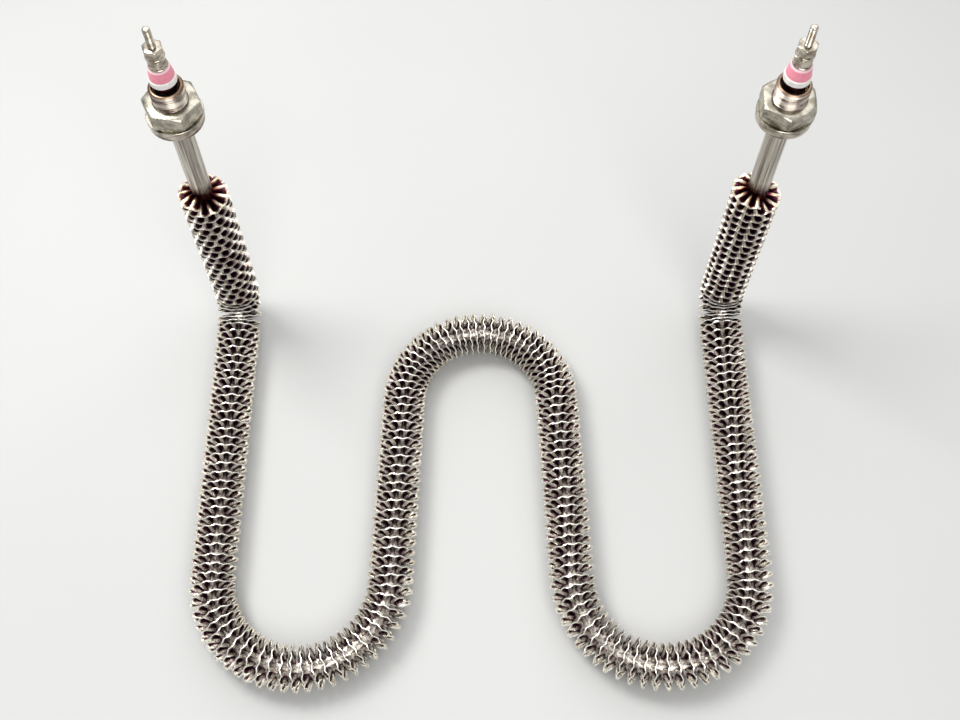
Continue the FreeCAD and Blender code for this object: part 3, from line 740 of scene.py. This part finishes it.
def hexagon_nut(node, flats, bore, material):
    """A hexagon nut with bevelled faces and lightly broken edges."""
    low, high = (corner.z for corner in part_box(node))
    sixth = np.radians(NUT_SIXTH)
    turn = math.radians(NUT_TURNS[node] - 60)
    angles = np.concatenate([sixth + math.radians(60 * step) + turn for step in range(6)])
    edge = flats * NUT_EDGE_SHARE
    lead = flats * NUT_LEAD_SHARE
    face = flats / 2 * NUT_FACE_SHARE
    hexagon = np.tile(flats / 2 / np.cos(sixth), 6)
    side = np.minimum(hexagon, flats / 2 / math.cos(math.radians(30)) - edge)
    drop = (side - face) * math.tan(NUT_BEVEL)
    rows = [(bore, low + lead), (bore + lead, low), (face, low), (side - edge, low + drop - edge / 2)]
    rows += [(side, low + drop + edge), (side, high - drop - edge), (side - edge, high - drop + edge / 2)]
    rows += [(face, high), (bore + lead, high), (bore, high - lead)]
    spun(node, rows, angles, material)


def washer(node, bore, material):
    """A punched washer, its edges rounded by the punch."""
    low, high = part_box(node)
    outside = (high.x - low.x) / 2
    outline = [(bore, low.z), (outside, low.z), (outside, high.z), (bore, high.z)]
    spun(node, eased(outline, WASHER_EASE), around(ROUND_SIDES), material)


def seal_ring(name):
    """A moulded ring on the end of the sheath, with a spigot that plugs it."""
    node = f"{name}_seal_ring"
    low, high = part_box(node)
    outside = (high.x - low.x) / 2
    outline = [(SEAL_BORE, low.z), (SEAL_SPIGOT, low.z), (SEAL_SPIGOT, SHEATH_TOP)]
    outline += [(outside, SHEATH_TOP), (outside, high.z), (SEAL_BORE, high.z)]
    spun(node, eased(outline, SEAL_EASE), around(ROUND_SIDES), RUBBER)


def insulator(name):
    """A tapered ceramic bush with a rounded top edge."""
    node = f"{name}_insulator"
    low, high = (corner.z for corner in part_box(node))
    rows = [(INSULATOR_BORE, low), (INSULATOR_FOOT - FOOT_EASE, low), (INSULATOR_FOOT, low + FOOT_EASE)]
    rows += [(INSULATOR_HEAD - inwards * MM, high - down * MM) for inwards, down in HEAD_ROUNDING]
    rows += [(INSULATOR_BORE, high)]
    spun(node, rows, around(ROUND_SIDES), CERAMIC)


def terminal_pin(name):
    """The cold pin and the threaded stud on its end, rounded at the tip."""
    node = f"{name}_terminal_pin"
    low, high = (corner.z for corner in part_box(node))
    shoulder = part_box(f"{name}_insulator")[0].z
    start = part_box(f"{name}_upper_terminal_nut")[1].z - STUD_THREAD_START
    end = high - STUD_TIP
    thread = STUD_THREAD / 2
    neck = thread - STUD_NECK_DEPTH
    angles = around(STUD_SIDES)
    rows = [(thread - PIN_EASE, low), (thread, low + PIN_EASE), (thread, shoulder - NECK_STEP)]
    rows += [(neck, shoulder), (neck, start - NECK_STEP)]
    rows += thread_rows(angles, thread, STUD_THREAD_DEPTH, STUD_PITCH, start, end, 8)
    rows += [(thread * across, high - STUD_TIP * down) for across, down in STUD_ROUNDING]
    spun(node, rows, angles, TERMINAL, solid=True)


for name in ("left", "right"):
    threaded_bushing(name)
    washer(f"{name}_mounting_washer", MOUNT_WASHER_BORE, FITTING)
    hexagon_nut(f"{name}_mounting_nut", MOUNT_NUT_FLATS, MOUNT_NUT_BORE, FITTING)
    seal_ring(name)
    insulator(name)
    terminal_pin(name)
    for level in ("lower", "upper"):
        nut = f"{name}_{level}_terminal_nut"
        washer(f"{name}_{level}_terminal_washer", STUD_WASHER_BORE, TERMINAL)
        hexagon_nut(nut, STUD_NUT_FLATS, STUD_NUT_BORE, TERMINAL)

# The plain sheath and its filling keep their meshes from the frame.
for node, finish in (("sheath", SHEATH), ("magnesia_filling", POWDER)):
    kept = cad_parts[node].data
    kept.materials.clear()
    kept.materials.append(finish)


# Floor, lights and camera.


def seen_rays(tree):
    """1 where the floor or the studio is looked at or mirrored, and 0 where it only gives light."""
    rays = add(tree, "LightPath").outputs
    sharp = {0: rays["Is Glossy Ray"], 1: rays["Is Transmission Ray"]}
    mirrored = add(tree, "Math", sharp, operation="MAXIMUM")
    return add(tree, "Math", {0: rays["Is Camera Ray"], 1: mirrored}, operation="MAXIMUM")


def make_floor():
    """A plain pale studio floor under the fins, which fades into the studio far from them."""
    half = FLOOR_SIZE / 2
    corners = [(-half, -half, 0), (half, -half, 0), (half, half, 0), (-half, half, 0)]
    material, tree, shader, place = new_material("pale_studio_floor")
    clouds = add(tree, "TexNoise", {"Vector": place, "Scale": FLOOR_CLOUDS})
    colour = add(tree, "ValToRGB", {"Fac": clouds}, [(0.3, "#c4c4c2"), (0.7, "#c8c8c6")])
    link(tree, colour, shader.inputs["Base Color"])
    shader.inputs["Roughness"].default_value = 0.8
    reach = add(tree, "VectorMath", {0: place}, operation="LENGTH").outputs["Value"]
    away = add(tree, "MapRange", {"Value": reach, "From Min": FADE_START, "From Max": FADE_END})
    share = add(tree, "Math", {0: away, 1: seen_rays(tree)}, operation="MULTIPLY")
    studio = add(tree, "Emission", {"Color": linear(STUDIO_COLOUR), "Strength": STUDIO_SEEN})
    surface = add(tree, "MixShader", {0: share, 1: shader, 2: studio})
    link(tree, surface, tree.nodes["Material Output"].inputs["Surface"])
    floor = new_piece("studio_floor", corners, [(0, 1, 2, 3)], material)


def area_light(name, place, size, watts):
    """A square soft box that looks at the middle of the element."""
    lamp = bpy.data.lights.new(name, "AREA")
    lamp.shape = "SQUARE"
    lamp.size = size
    lamp.energy = watts
    box = bpy.data.objects.new(name, lamp)
    bpy.context.scene.collection.objects.link(box)
    box.location = place
    aim = Vector(LIGHT_AIM) - Vector(place)
    box.rotation_euler = aim.to_track_quat("-Z", "Y").to_euler()


def make_camera():
    """The photograph's viewpoint, with its small roll."""
    camera = bpy.data.cameras.new("camera")
    camera.sensor_width = 36
    camera.lens = VIEW_FOCUS * 36 / VIEW_WIDTH
    camera.clip_start = 0.01
    view = bpy.data.objects.new("camera", camera)
    bpy.context.scene.collection.objects.link(view)
    ahead = Vector(VIEW_AHEAD).normalized()
    right = ahead.cross(Vector((0, 0, 1))).normalized()
    up = right.cross(ahead)
    level = right * math.cos(VIEW_ROLL) + up * math.sin(VIEW_ROLL)
    upright = up * math.cos(VIEW_ROLL) - right * math.sin(VIEW_ROLL)
    turn = Matrix((level, upright, -ahead)).transposed().to_4x4()
    place = (VIEW_ASIDE, RISER_Y - VIEW_BACK, FIN_RADIUS + VIEW_HEIGHT)
    view.matrix_world = Matrix.Translation(place) @ turn
    bpy.context.scene.camera = view


def make_world():
    """Soft even light from all round, with a paler studio where it is looked at or mirrored."""
    world = bpy.data.worlds.new("studio")
    world.use_nodes = True
    tree = world.node_tree
    background = tree.nodes["Background"]
    background.inputs["Color"].default_value = linear(STUDIO_COLOUR)
    levels = {"To Min": STUDIO_LIGHT, "To Max": STUDIO_SEEN}
    strength = add(tree, "MapRange", {"Value": seen_rays(tree), **levels})
    link(tree, strength, background.inputs["Strength"])
    bpy.context.scene.world = world


make_floor()
for name, (place, size, watts) in SOFT_BOXES.items():
    area_light(name, place, size, watts)
make_camera()
make_world()
bpy.context.scene.view_settings.view_transform = "Standard"
